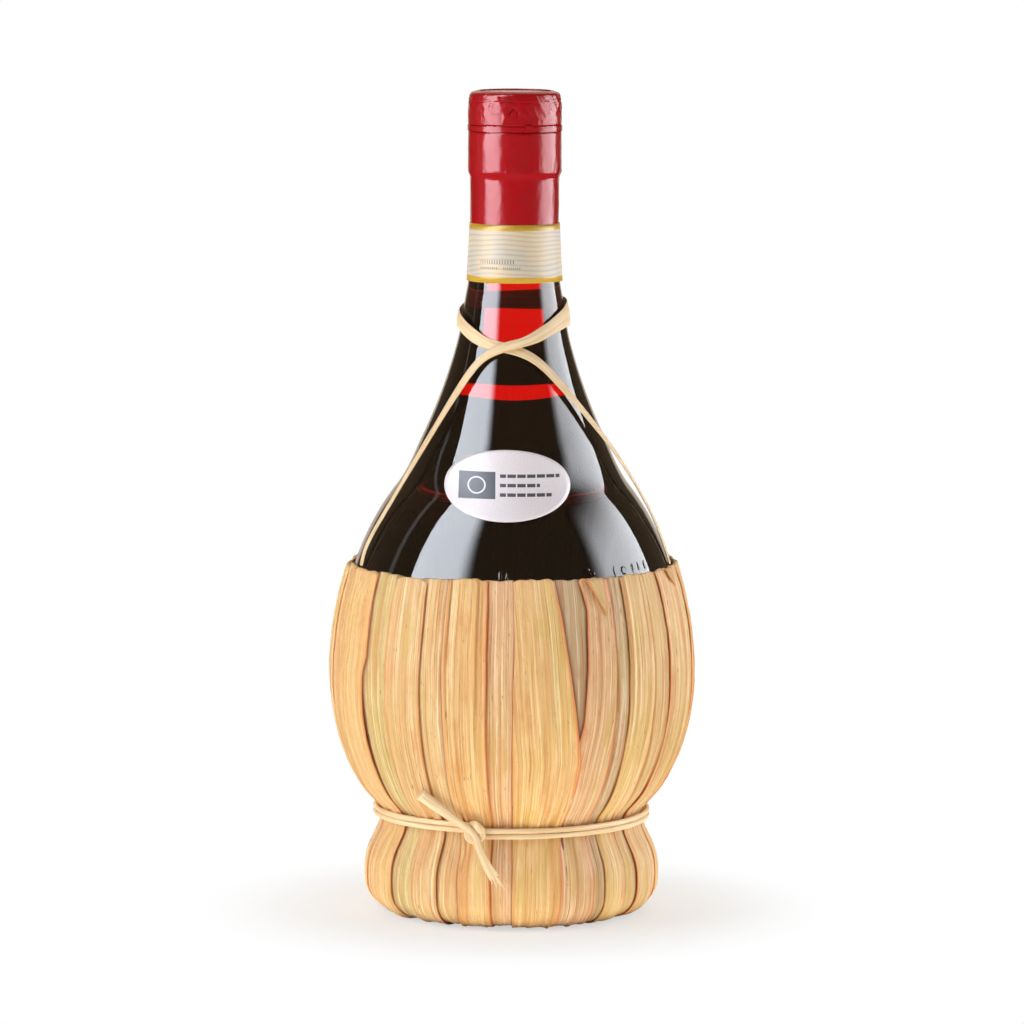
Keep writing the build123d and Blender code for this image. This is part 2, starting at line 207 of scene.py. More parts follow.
def hermite(points, start, end, per_span):
    """Smooth curve through points, with a direction at both ends."""
    points = np.array(points, dtype=float)
    slopes = np.empty_like(points)
    slopes[1:-1] = (points[2:] - points[:-2]) / 2
    slopes[0] = np.array(start) * np.linalg.norm(points[1] - points[0])
    slopes[-1] = np.array(end) * np.linalg.norm(points[-1] - points[-2])
    out = []
    for i in range(len(points) - 1):
        for step in range(per_span):
            t = step / per_span
            a, b, c, d = 2*t**3 - 3*t**2 + 1, t**3 - 2*t**2 + t, -2*t**3 + 3*t**2, t**3 - t**2
            out.append(tuple(a * points[i] + b * slopes[i] + c * points[i + 1] + d * slopes[i + 1]))
    return out + [tuple(points[-1])]


def ellipse_point(radius, rise, angle):
    """Point of the bulb's ellipse and its direction, from the belly up."""
    turn = radians(angle)
    direction = np.array([-radius * sin(turn), rise * cos(turn)])
    point = (radius * cos(turn), BELLY_HEIGHT + rise * sin(turn))
    return point, direction / np.linalg.norm(direction)


def bulb_outline(depth, floor):
    """Bulb and shoulder up to the flare, a depth inside the outer surface."""
    radius = BULB_RADIUS - depth
    top = degrees(asin(SHOULDER_SHARE))
    points = [ellipse_point(radius, BULB_DROP - floor, -90 + 90 * i / 48)[0] for i in range(48)]
    points += [ellipse_point(radius, BULB_RISE - depth, top * i / 32)[0] for i in range(32)]
    points[0] = (0.0, points[0][1])
    start, direction = ellipse_point(radius, BULB_RISE - depth, top)
    end = (FLARE_RADIUS - depth, FLARE_HEIGHT)
    knots = [start]
    for rise_share, inset_share in zip(SHOULDER_HEIGHT_SHARES, SHOULDER_RADIUS_SHARES):
        knots.append((start[0] + inset_share * (end[0] - start[0]),
                      start[1] + rise_share * (end[1] - start[1])))
    knots.append(end)
    flare = np.array([NECK_RADIUS - FLARE_RADIUS, NECK_HEIGHT - FLARE_HEIGHT])
    return points + hermite(knots, direction, flare / np.linalg.norm(flare), 14)


def fillet_arc(centre, radius, start, end, steps):
    """Arc of a section, angles in degrees."""
    angles = [radians(start + (end - start) * i / steps) for i in range(steps + 1)]
    return [(centre[0] + radius * cos(a), centre[1] + radius * sin(a)) for a in angles]


outer_line = bulb_outline(0, 0) + [(NECK_RADIUS, NECK_HEIGHT)]
outer_radii, outer_heights = np.array(outer_line).T


def glass_radius(height):
    """Outer radius of the glass below its ring."""
    return float(np.interp(height, outer_heights, outer_radii))


def glass_slope(height):
    """Outward normal of the glass as radius and height."""
    rise = 1.0
    run = glass_radius(height + rise / 2) - glass_radius(height - rise / 2)
    length = hypot(rise, run)
    return rise / length, -run / length


class Nodes:
    """A node tree that is built up line by line."""

    def __init__(self, tree):
        self.tree = tree

    def node(self, kind, inputs=None, **settings):
        made = self.tree.nodes.new(kind)
        for key, value in settings.items():
            setattr(made, key, value)
        for key, value in (inputs or {}).items():
            self.feed(made.inputs[key], value)
        return made

    def feed(self, socket, value):
        if isinstance(value, bpy.types.NodeSocket):
            self.tree.links.new(value, socket)
        elif isinstance(value, (list, tuple)) and socket.type == "RGBA" and len(value) == 3:
            socket.default_value = (*value, 1)
        else:
            socket.default_value = value

    def math(self, operation, first, second=0.0):
        return self.node("ShaderNodeMath", {0: first, 1: second}, operation=operation).outputs[0]

    def both(self, first, second):
        """Product of two shares."""
        return self.math("MULTIPLY", first, second)

    def near(self, value, centre, half):
        """1 where a value lies within half of a centre, 0 elsewhere."""
        return self.math("LESS_THAN", self.math("ABSOLUTE", self.math("SUBTRACT", value, centre)), half)

    def mix(self, share, first, second, blend="MIX"):
        made = self.node("ShaderNodeMix", data_type="RGBA", blend_type=blend)
        for key, value in (("Factor", share), ("A", first), ("B", second)):
            self.feed(made.inputs[key], value)
        return made.outputs["Result"]

    def over(self, pattern, low, high, colour, tone, most=1.0):
        """A colour that gives way to a tone as a pattern goes from low to high."""
        return self.mix(self.range(pattern, low, high, 0.0, most), colour, tone)

    def label(self):
        """Place on a label, as a vector and as its two lengths."""
        label = self.attribute("label")
        part = self.node("ShaderNodeSeparateXYZ", {"Vector": label}).outputs
        return label, part["X"], part["Y"]

    def noise(self, vector, scale, detail=2.0, rough=0.5):
        return self.node("ShaderNodeTexNoise", {"Scale": scale, "Detail": detail, "Roughness": rough,
                                                "Vector": vector}).outputs["Fac"]

    def range(self, value, low, high, to_low=0.0, to_high=1.0, smooth=False):
        made = self.node("ShaderNodeMapRange", {"Value": value, "From Min": low, "From Max": high,
                                                "To Min": to_low, "To Max": to_high})
        if smooth:
            made.interpolation_type = "SMOOTHSTEP"
        return made.outputs[0]

    def grain(self, vector, scale, detail, rough):
        """Noise with its own scale along each axis."""
        scaled = self.node("ShaderNodeVectorMath", {0: vector, 1: scale}, operation="MULTIPLY").outputs[0]
        return self.noise(scaled, 1.0, detail, rough)

    def attribute(self, name, output="Vector"):
        return self.node("ShaderNodeAttribute", attribute_name=name).outputs[output]

    def position(self):
        return self.node("ShaderNodeNewGeometry").outputs["Position"]

    def bump(self, height, strength, distance, normal=None):
        made = self.node("ShaderNodeBump", {"Height": height, "Strength": strength, "Distance": distance})
        if normal:
            self.feed(made.inputs["Normal"], normal)
        return made.outputs[0]

    def emission(self, colour, strength):
        return self.node("ShaderNodeEmission", {"Color": colour, "Strength": strength}).outputs[0]

    def blend(self, share, first, second):
        """Two surfaces mixed."""
        return self.node("ShaderNodeMixShader", {"Fac": share, 1: first, 2: second}).outputs[0]


class Shader(Nodes):
    """A node material."""

    def __init__(self, name):
        self.material = bpy.data.materials.new(name)
        self.material.use_nodes = True
        super().__init__(self.material.node_tree)
        self.surface = self.tree.nodes["Principled BSDF"]
        self.output = self.tree.nodes["Material Output"]

    def set(self, **inputs):
        """Sets inputs of the surface and returns the material."""
        for key, value in inputs.items():
            self.feed(self.surface.inputs[key.replace("_", " ")], value)
        return self.material


def glass_material():
    """Pale olive bottle glass."""
    look = Shader("bottle_glass")
    waves = look.noise(look.position(), 26.0, 1.0)
    return look.set(Base_Color=srgb(222, 228, 205), Roughness=0.0, IOR=1.5, Transmission_Weight=1.0,
                    Normal=look.bump(waves, 0.1, 0.0006))


def wine_material():
    """Dark red wine that lets some red through in a thin neck."""
    look = Shader("red_wine")
    look.set(Base_Color=(1.0, 1.0, 1.0), Roughness=0.0, IOR=1.34, Transmission_Weight=1.0)
    absorb = look.node("ShaderNodeVolumeAbsorption", {"Color": (0.985, 0.02, 0.03), "Density": 230.0})
    look.feed(look.output.inputs["Volume"], absorb.outputs[0])
    return look.material


def capsule_material(name, colour):
    """Red shrunk film with fine wrinkles."""
    look = Shader(name)
    place = look.position()
    fine = look.grain(place, (420.0, 420.0, 252.0), 4.0, 0.6)
    broad = look.noise(place, 120.0, 3.0)
    tone = look.over(broad, 0.3, 0.7, colour, [c * 0.86 for c in colour])
    return look.set(Base_Color=tone, Roughness=look.range(broad, 0.3, 0.7, 0.15, 0.24),
                    Specular_IOR_Level=0.32, Normal=look.bump(fine, 0.5, 0.00018))


def leaf_material():
    """Dried leaf: long fibres, blotches and darker edges over each leaf's own tint, with painted shade beside the
    covering leaves and along the creases.
    """
    look = Shader("dried_leaf")
    fibre = look.attribute("fibre")
    tint = look.attribute("leaf_tint", "Color")

    def times(red, green, blue):
        """The leaf's tint through a filter colour."""
        return look.mix(1.0, tint, srgb(red, green, blue), "MULTIPLY")

    bands = look.grain(fibre, (0.55, 0.008, 7.0), 4.0, 0.62)
    streaks = look.grain(fibre, (1.7, 0.014, 3.0), 5.0, 0.68)
    hairs = look.grain(fibre, (3.4, 0.02, 5.0), 3.0, 0.6)
    blotches = look.grain(fibre, (0.13, 0.03, 11.0), 4.0, 0.62)
    specks = look.grain(fibre, (1.3, 0.22, 17.0), 3.0, 0.55)
    crumple = look.grain(fibre, (0.34, 0.16, 23.0), 3.0, 0.55)
    colour = look.over(bands, 0.36, 0.62, times(255, 254, 250), times(232, 214, 186))
    for pattern, low, high, most, tone in (
        (blotches, 0.50, 0.62, 0.9, times(228, 220, 168)),
        (blotches, 0.46, 0.34, 0.9, times(232, 196, 164)),
        (streaks, 0.46, 0.62, 0.7, times(222, 184, 136)),
        (streaks, 0.44, 0.30, 0.7, srgb(250, 236, 198)),
        (hairs, 0.57, 0.67, 0.85, times(190, 138, 86)),
        (specks, 0.66, 0.76, 0.75, srgb(132, 72, 34)),
    ):
        colour = look.over(pattern, low, high, colour, tone, most)
    # Painted shade along the pleats' creases, varied by the bands
    crease_shadows = look.both(look.attribute("crease_line", "Fac"), look.range(bands, 0.38, 0.62, 0.15, 0.75))
    # Painted shade beside the covering leaves comes first, then the crease shade and the darker orange edges
    for share, tone in (
        (look.attribute("lap_line", "Fac"), times(126, 68, 28)),
        (crease_shadows, times(214, 160, 104)),
        (look.attribute("edge", "Fac"), times(232, 146, 66)),
    ):
        colour = look.mix(share, colour, tone)
    ridges = look.math("ADD", streaks, look.both(hairs, 0.6))
    look.set(Base_Color=colour, Roughness=look.range(streaks, 0.3, 0.7, 0.40, 0.58),
             Normal=look.bump(ridges, 0.8, 0.00045, look.bump(crumple, 0.45, 0.0014)))
    return look.set(Specular_IOR_Level=0.45, Sheen_Weight=0.1)


def raffia_material():
    """Raffia: pale strands with fine lines along them."""
    look = Shader("raffia_strand")
    fibre = look.attribute("fibre")
    fine = look.grain(fibre, (9.0, 0.12, 3.0), 4.0, 0.65)
    tone = look.grain(fibre, (1.2, 0.05, 5.0), 3.0, 0.6)
    colour = look.over(tone, 0.35, 0.7, srgb(244, 220, 180), srgb(226, 190, 140))
    colour = look.over(fine, 0.45, 0.75, colour, srgb(188, 138, 82), 0.7)
    return look.set(Base_Color=colour, Roughness=0.5, Sheen_Weight=0.15, Normal=look.bump(fine, 0.7, 0.00025))


def plain_fibre_material(name, light, dark):
    """Twisted cord or leaf ends."""
    look = Shader(name)
    strands = look.grain(look.position(), (700.0, 700.0, 1500.0), 4.0, 0.6)
    colour = look.over(strands, 0.35, 0.7, light, dark)
    return look.set(Base_Color=colour, Roughness=0.75, Normal=look.bump(strands, 0.8, 0.0004))


def cork_material():
    """Cork with its pores."""
    look = Shader("cork_grain")
    place = look.position()
    grain = look.noise(place, 700.0, 4.0)
    cells = look.node("ShaderNodeTexVoronoi", {"Vector": place, "Scale": 330.0}).outputs["Distance"]
    pores = look.range(cells, 0.10, 0.22, 1.0, 0.0)
    colour = look.over(grain, 0.3, 0.7, srgb(214, 172, 122), srgb(186, 138, 90))
    colour = look.mix(look.both(pores, 0.8), colour, srgb(96, 58, 30))
    height = look.math("SUBTRACT", grain, pores)
    return look.set(Base_Color=colour, Roughness=0.8, Normal=look.bump(height, 0.6, 0.0005))


# Rows of plain ticks on the band: height, half height, spacing, filled share, start and end along the band
BAND_TICKS = (
    (7.0, 0.62, 0.92, 0.42, 64.5, 77.0), (4.9, 0.4, 0.7, 0.5, 64.5, 71.5), (4.9, 0.4, 0.66, 0.45, 73.0, 79.0),
)


def band_material():
    """Cream paper with gold borders, fine waves and rows of plain marks."""
    look = Shader("band_paper")
    label, along, up = look.label()
    wave = look.node("ShaderNodeTexWave", {"Vector": label, "Scale": 0.2, "Distortion": 16.0, "Detail": 1.0,
                                           "Detail Scale": 0.16}, wave_type="BANDS", bands_direction="Y").outputs[0]
    tone = look.noise(label, 0.09, 2.0)
    paper = look.over(tone, 0.35, 0.65, srgb(210, 192, 162), srgb(198, 186, 168))
    lines = look.over(tone, 0.42, 0.58, srgb(182, 140, 122), srgb(126, 142, 172))
    colour = look.over(wave, 0.55, 0.9, paper, lines, 0.42)
    ticks = 0.0
    for row_up, half, spacing, share, start, end in BAND_TICKS:
        row = look.both(look.near(up, row_up, half), look.near(along, (start + end) / 2, (end - start) / 2))
        comb = look.math("LESS_THAN", look.math("FRACT", look.both(along, 1 / spacing)), share)
        ticks = look.math("ADD", ticks, look.both(row, comb))
    colour = look.mix(look.both(ticks, 0.7), colour, srgb(84, 72, 66))
    edge = look.math("ABSOLUTE", look.math("SUBTRACT", up, 9.6))
    gold = look.range(edge, 7.6, 7.7)
    glint = look.noise(label, 2.2, 3.0)
    colour = look.mix(gold, colour, look.over(glint, 0.35, 0.65, srgb(212, 172, 58), srgb(190, 146, 38)))
    return look.set(Base_Color=colour, Roughness=look.range(gold, 0.0, 1.0, 0.5, 0.32),
                    Normal=look.bump(look.noise(label, 3.0, 4.0), 0.25, 0.00008))


def sticker_material():
    """White paper with a dark block, an open ring in it and plain bars beside it."""
    look = Shader("sticker_paper")
    label, along, up = look.label()

    def box(centre_x, centre_y, half_x, half_y):
        """1 inside a rectangle, 0 outside."""
        return look.both(look.near(along, centre_x, half_x), look.near(up, centre_y, half_y))

    middle = -9.9
    block = box(middle, 0.0, 6.4, 4.9)
    away = look.node("ShaderNodeVectorMath", {0: label, 1: (middle, 0.0, 0.0)}, operation="DISTANCE")
    ring = look.near(away.outputs["Value"], 2.9, 0.28)
    bars = 0.0
    for centre_y, half_x in ((3.4, 10.0), (0.0, 6.6), (-3.4, 8.6)):
        bars = look.math("ADD", bars, box(-2.0 + half_x, centre_y, half_x, 0.62))
    bars = look.both(bars, look.math("GREATER_THAN", look.math("FRACT", look.both(along, 0.31)), 0.14))
    grain = look.noise(label, 1.6, 4.0)
    paper = look.over(grain, 0.3, 0.7, srgb(240, 232, 238), srgb(230, 222, 230))
    colour = look.mix(block, paper, srgb(52, 54, 62))
    colour = look.mix(look.both(ring, block), colour, srgb(225, 225, 228))
    colour = look.mix(bars, colour, srgb(70, 70, 76))
    return look.set(Base_Color=colour, Roughness=0.42, Normal=look.bump(grain, 0.15, 0.00005))


# Flask, a closed glass solid with its bore
def flask_outline():
    """Outer and inner outline of the glass, from the bottom round the mouth to the cavity's bottom."""
    outside = outer_line + [(NECK_RADIUS, RING_HEIGHT), (RING_RADIUS, RING_HEIGHT + RING_SLOPE),
                            (RING_RADIUS, MOUTH_HEIGHT - MOUTH_ROUNDING - 6)]
    outside += fillet_arc((RING_RADIUS - MOUTH_ROUNDING, MOUTH_HEIGHT - MOUTH_ROUNDING), MOUTH_ROUNDING, 0, 90, 8)
    outside += fillet_arc((BORE_RADIUS + LIP_ROUNDING, MOUTH_HEIGHT - LIP_ROUNDING), LIP_ROUNDING, 90, 180, 4)
    inside = bulb_outline(BULB_WALL, BULB_FLOOR)
    throat = [(NECK_RADIUS - NECK_WALL, MOUTH_HEIGHT - BORE_DEPTH - BORE_FLARE),
              (BORE_RADIUS, MOUTH_HEIGHT - BORE_DEPTH)]
    return outside + throat[::-1] + inside[::-1]


flask = lathe("flask_glass", flask_outline())
glass_look = glass_material()
settle(flask, glass_look, "glass", "glass_bulb", "glass_shoulder", "glass_neck")

# Wine, a little into the glass so that no air film lies between them
WINE_SINK = 0.15
fill_height = MOUTH_HEIGHT - FILL_DEPTH
wine_line = [p for p in bulb_outline(BULB_WALL - WINE_SINK, BULB_FLOOR - WINE_SINK) if p[1] < fill_height]
bore = NECK_RADIUS - NECK_WALL
meniscus = [(bore + WINE_SINK, fill_height + 0.6), (bore - 0.7, fill_height), (0.0, fill_height - 0.05)]
settle(lathe("wine_body", wine_line + meniscus), wine_material(), "wine", "wine_fill")

# Plain raised marks in the glass, just above the leaves: azimuth, height, half width and half height
GLASS_MARKS = (
    (-4.6, 118.6, 0.5, 1.9), (-2.0, 118.4, 0.5, 1.9), (28.5, 117.4, 0.9, 0.5), (30.4, 118.8, 0.9, 0.5),
    (28.5, 120.2, 0.9, 0.5), (40.0, 118.6, 0.5, 2.2), (44.5, 119.0, 1.4, 1.4), (49.5, 119.4, 0.5, 1.6),
    (53.0, 119.6, 0.5, 1.6), (57.0, 119.8, 0.5, 1.6),
)
MARK_RISE = 0.35
MARK_SINK = 0.04


def build_marks():
    """Low rounded bars and dots on the glass, each closed below its surface."""
    verts, faces = [], []
    rings, spokes = 5, 20
    for mark_azimuth, mark_height, half_x, half_y in GLASS_MARKS:
        base = len(verts)
        for part, angle in disc_places(rings, spokes):
            height = mark_height + half_y * part * sin(angle)
            radius = glass_radius(height) + MARK_RISE * sqrt(1 - part ** 2) - MARK_SINK
            verts.append(spot_at(mark_azimuth + degrees(half_x * part * cos(angle) / radius), radius, height))
        faces += disc_faces(base, rings, spokes)
        last = base + 1 + (rings - 1) * spokes
        faces.append(tuple(range(last, last + spokes))[::-1])
    return make_object("glass_marks", verts, faces)


settle(build_marks(), glass_look, "glass")


# Leaf dress: the outline of an outer leaf is read from the frame
GUIDE_INDEX = 6
# Centre of the foot's rounding as radius and height, and the height above which the dress line only rises
FOOT_CORNER = (38.8, 10.8)
FOOT_TOP = 11
# Start of the line under the foot and spacing of its points
FOOT_START = 27.0
DRESS_STEP = 1.2


def leaf_middle(index):
    """Azimuth of the middle of a leaf's own share."""
    return LEAF_START + sum(LEAF_WIDTH_SHARES[:index]) + LEAF_WIDTH_SHARES[index] / 2


def dress_outline():
    """Outer line of the dress as radii and heights, from under the foot to the rim."""
    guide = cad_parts[f"straw_leaf_{GUIDE_INDEX + 1:02d}"]
    points = [guide.matrix_world @ vertex.co for vertex in guide.data.vertices]
    tree = BVHTree.FromPolygons(points, [tuple(face.vertices) for face in guide.data.polygons])
    away = outward(leaf_middle(GUIDE_INDEX))
    corner = Vector((FOOT_CORNER[0] * away.x, FOOT_CORNER[0] * away.y, FOOT_CORNER[1]))
    found = [(FOOT_START + DRESS_STEP * i, 0.0) for i in range(10)]

    def shoot(origin, ray):
        """Adds the place where a ray meets the guide leaf."""
        hit = tree.ray_cast(origin * MM, ray)[0]
        if hit is not None:
            found.append((hypot(hit.x, hit.y) / MM, hit.z / MM))

    corner_steps = 14
    for step in range(corner_steps + 1):
        angle = radians(-90 + 90 * step / corner_steps)
        ray = Vector(away * cos(angle)) + Vector((0, 0, sin(angle)))
        shoot(corner + ray * 30, -ray)
    height = FOOT_CORNER[1] + DRESS_STEP
    while height < RIM_HEIGHT - 0.8:
        shoot(away * 100 + Vector((0, 0, height)), -away)
        height += DRESS_STEP
    return found


# The line is smoothed three times
dress_line = np.array(dress_outline())
for _ in range(3):
    dress_line[1:-1] = (dress_line[:-2] + 2 * dress_line[1:-1] + dress_line[2:]) / 4
lengths = np.concatenate([[0], np.cumsum(np.hypot(*np.diff(dress_line, axis=0).T))])


def dress_place(length):
    """Point of the dress line and its outward normal at a length from its start."""
    half_step = 0.6
    before, here, after = (np.array([np.interp(length + gap, lengths, dress_line[:, k]) for k in (0, 1)])
                           for gap in (-half_step, 0, half_step))
    along = (after - before) / max(np.linalg.norm(after - before), 1e-9)
    return here, np.array([along[1], -along[0]])


def length_at(height):
    """Length along the dress line at a height above the foot's corner."""
    upper = dress_line[:, 1] > FOOT_TOP
    return float(np.interp(height, dress_line[upper, 1], lengths[upper]))


LEAF_TINTS = {
    "straw": srgb(240, 210, 160),
    "gold": srgb(238, 204, 146),
    "green": srgb(232, 212, 152),
    "pink": srgb(236, 200, 162),
    "grey": srgb(210, 186, 154),
    "pale": srgb(244, 220, 174),
}
LEAF_COLOURS = (
    "gold green straw straw gold pink gold grey pink grey straw gold straw pale gold green "
    "pale straw pink gold grey straw green pale gold straw pink straw green gold pale straw"
).split()
LEAF_COLUMNS = 41
ROW_STEP = 1.3
LEAF_PLY = 0.42
FOLD_STEPS = 8
FOLD_TAIL = 9.0
TAIL_ROWS = 6
# Depth below the dress line and radius of the fold, for an upper and an under leaf
LEAF_DEPTHS = (0.65, 1.15)
FOLD_RADII = (0.42, 0.22)
# Waves of a leaf's surface: size, turns across, turns along and seed
LEAF_WAVES = ((0.20, 1.4, 0.4, 7.1), (0.07, 6.0, 0.7, 3.3), (0.13, 2.6, 2.1, 4.1))
# Ranges of the random draws for a leaf
TOP_SPREAD = (-0.9, 0.7)
PLEAT_COUNTS = (3, 6)
PLEAT_RISES = (0.2, 0.6)
CURL_RISES = (0.08, 0.6)
EDGE_STRENGTHS = (0.25, 0.8)
TINT_SPREAD = (0.90, 1.06)
PLEAT_WIDTH = 0.35
CREASE_WIDTH = 0.05
PLEAT_REACH = 0.85
# Share of the half width at which an edge starts to curl and to colour
CURL_START = 0.74
EDGE_START = 0.86
# Lengths over which the tie draws the leaves together and their relief grows
WAIST_REACH = 8.0
RELIEF_REACH = 14
LEAF_SEED = 400
EDGE_SEED = 700
FIBRE_RADIUS = 58
GLASS_GAP = 0.35
waist_length = length_at(WAIST_HEIGHT)

# Where an edge leaves its place: leaf number, side, then heights with degrees to the right
EDGE_SHIFTS = {
    (1, 1): ((0, 0), (6, -1.6), (24, -1.2), (33, 0), (45, -1.3), (70, -1.5), (84, -1.2), (90, 0.4), (120, 0)),
    (2, -1): ((0, 0), (6, 1.6), (24, 1.4), (33, 0), (45, 1.3), (70, 1.5), (84, 1.0), (90, 0)),
    (7, 1): ((0, 6), (20, 6.5), (33, 9.0), (57, 10.2), (68, 7.7), (80, 6), (111, 1.8), (120, 1)),
    (9, -1): ((20, -4.5), (33, -2.6), (57, -2.4), (71, 0.3), (90, 1.2), (108, 2), (120, 0)),
    (4, 1): ((0, 0), (8, -1.4), (26, -1.0), (33, 0)),
    (5, -1): ((0, 0), (8, 1.3), (26, 1.2), (33, 0)),
    (12, 1): ((33, 0), (60, -1.0), (95, -1.4), (115, -1.0), (120, 0)),
    (13, -1): ((33, 0), (60, 0.8), (95, 1.2), (115, 0.8), (120, 0)),
}
# Leaves with a strongly coloured edge
ORANGE_EDGES = ((7, 1), (9, -1), (9, 1), (13, -1), (5, 1))
# Painted shade of single laps by leaf number and side, of the others, and the width of the others' shade line and of
# theirs
SHADED_GAPS = {(2, -1): 1.4, (4, 1): 0.9, (5, -1): 0.9, (8, -1): 0.9, (8, 1): 0.9, (12, 1): 0.8}
LAP_SHADE = 0.62
LAP_WIDTHS = (0.45, 0.85)
# The widest gap of painted shade: its leaf and side, the height of its middle and its half length
OPEN_GAP = ((2, -1), 66.0, 26.0)


def edge_azimuth(index, side, length, height):
    """Azimuth of a leaf's edge, with its lap over or under the neighbour and its small wander."""
    turns, index = divmod(index, len(LEAF_WIDTH_SHARES))
    width = LEAF_WIDTH_SHARES[index]
    lap = 0.13 + 0.03 * np.random.RandomState(EDGE_SEED + index).rand()
    table = EDGE_SHIFTS.get((index + 1, side))
    shift = float(np.interp(height, *zip(*table))) if table else 0.0
    sway = 0.4 * wobble(length * 0.03, index * 5.3, 2.0)
    wander = 0.35 * wobble(length * 0.06, index * 2.6, 7.0 + 2 * side)
    return leaf_middle(index) + side * width / 2 + side * lap * width + shift + sway + wander + 360 * turns


def rim_height(azimuth):
    """Height of the slanting rim."""
    return RIM_HEIGHT + RIM_RISE * sin(radians(azimuth))


def leaf_relief(index, s, v, pleats):
    """Lift of a leaf's waves and pleats at a place across and along it, and how strong the painted shade along its
    creases is.
    """
    lift = sum(size * wobble(s * across, v * along, index * seed)
               for size, across, along, seed in LEAF_WAVES)
    crease = 0.0
    for where, rise, way, phase, slant in pleats:
        gap = (s - (where + slant * (v - 8) / 8 + 0.05 * sin(v * 0.5 + phase))) * way
        fade = 0.55 + 0.45 * sin(v * 0.45 + phase * 2)
        if gap <= 0:
            lift += rise * fade * max(0.0, 1 + gap / PLEAT_WIDTH)
        crease = max(crease, fade * exp(-(gap / CREASE_WIDTH) ** 2))
    return lift, crease


def shade_beside_laps(number, covers, azimuth, height):
    """Painted shade on an under leaf beside the edges that cover it."""
    dark = 0.0
    for side, cover in covers:
        gap = max((cover - azimuth) * side, 0.0)
        wide = LAP_WIDTHS[(number, side) in SHADED_GAPS]
        if (number, side) == OPEN_GAP[0]:
            wide += 0.9 * max(0.0, 1 - abs(height - OPEN_GAP[1]) / OPEN_GAP[2])
        dark = max(dark, SHADED_GAPS.get((number, side), LAP_SHADE) * exp(-(gap / wide) ** 2))
    return min(dark, 1.0)


def build_leaf(index, colour):
    """One leaf from under the foot to its fold at the rim and down inside."""
    rng = np.random.RandomState(LEAF_SEED + index)
    number = index + 1
    under = index % 2
    depth, fold = LEAF_DEPTHS[under], FOLD_RADII[under]
    end = length_at(rim_height(leaf_middle(index)) + rng.uniform(*TOP_SPREAD) - fold)
    places = sorted(rng.uniform(-PLEAT_REACH, PLEAT_REACH, rng.randint(*PLEAT_COUNTS)))
    pleats = [(where, rng.uniform(*PLEAT_RISES), rng.choice([-1, 1]), rng.uniform(0, 9), rng.uniform(-0.10, 0.10))
              for where in places]
    sway_phase = rng.uniform(0, 6.28, 3)
    curl_up = {side: rng.uniform(*CURL_RISES) for side in (-1, 1)}
    edge_strength = {side: 1.0 if (number, side) in ORANGE_EDGES else rng.uniform(*EDGE_STRENGTHS)
                     for side in (-1, 1)}
    verts, fibre, edge, crease_line, lap_line = [], [], [], [], []

    def add_row(row_length, depth, point, normal, pull=1.0):
        """Adds a row of points across the leaf; pull is the share of its relief that it keeps."""
        v = row_length / 10
        left, right = (edge_azimuth(index, side, row_length, point[1]) for side in (-1, 1))
        covers = [(side, edge_azimuth(index + side, -side, row_length, point[1])) for side in (-1, 1)] if under else []
        near_waist = exp(-((row_length - waist_length) / WAIST_REACH) ** 2)
        near_end = exp(-max(end - row_length, 0) / 3)
        for s in np.linspace(-1, 1, LEAF_COLUMNS):
            lift, crease = leaf_relief(index, s, v, pleats)
            side = 1 if s > 0 else -1
            curl = max(0.0, abs(s) - CURL_START) / (1 - CURL_START)
            wave = 0.5 + 0.9 * wobble(side * 3.0, v * 0.55, index * 3.7 + 20)
            lift += curl ** 2 * ((curl_up[side] * wave if not under else 0) - 0.08)
            lift += near_waist * 0.25 * sin(s * 7 + sway_phase[0] + sin(v + sway_phase[1]))
            out = min(lift * pull, depth + 0.3) - depth
            height = point[1] + normal[1] * out
            height -= (0.9 * s ** 6 + 0.5 * wobble(s * 2.2, index * 6.7, 3.0)) * near_end
            azimuth = left + (right - left) * (s + 1) / 2
            verts.append(spot_at(azimuth, point[0] + normal[0] * out, max(height, 0.2)))
            fibre.append((s * (right - left) / 2 * radians(1) * FIBRE_RADIUS, row_length, index * 1.37))
            edge.append(edge_strength[side] * smooth_step((abs(s) - EDGE_START) / (1 - EDGE_START)))
            # Strength of the painted shade along the creases
            crease_line.append(crease)
            # Painted shade beside the edges of the covering leaves
            lap_line.append(shade_beside_laps(number, covers, azimuth, point[1]))

    for length in list(np.arange(0, end, ROW_STEP)) + [end]:
        point, normal = dress_place(length)
        add_row(length, depth, point, normal, smooth_step(length / RELIEF_REACH))
    centre = point - normal * (depth + fold)
    lean = atan2(normal[1], normal[0])
    for step in range(1, FOLD_STEPS):
        angle = lean + pi * step / FOLD_STEPS
        away = np.array([cos(angle), sin(angle)])
        add_row(end + step * 0.4, 0.0, centre + fold * away, away, 0.5)
    for step in range(TAIL_ROWS):
        drop = FOLD_TAIL * step / (TAIL_ROWS - 1)
        point, normal = dress_place(end - drop)
        inner = point - normal * (depth + 2 * fold)
        inner[0] = max(inner[0], glass_radius(inner[1]) + GLASS_GAP)
        add_row(end + 4 + drop, 0.0, inner, normal, 0.15)
    tint = np.array(LEAF_TINTS[colour]) * rng.uniform(*TINT_SPREAD)
    leaf = make_sheet(f"leaf_{number:02d}", verts, LEAF_COLUMNS, fibre=fibre, edge=edge, crease_line=crease_line,
                      lap_line=lap_line, leaf_tint=[(*tint, 1.0)] * len(verts))
    add_ply(leaf, LEAF_PLY)
    return leaf


leaf_look = leaf_material()
for index, colour in enumerate(LEAF_COLOURS):
    settle(build_leaf(index, colour), leaf_look, "straw_leaf", f"straw_leaf_{index + 1:02d}")


# Corners of leaves turned down over the rim: left, right and lowest azimuth, and the drop of the lowest point
RIM_CORNERS = ((24.0, 32.5, 31.8, 14.0), (62.5, 70.0, 69.2, 9.0))
CORNER_STEPS = 12


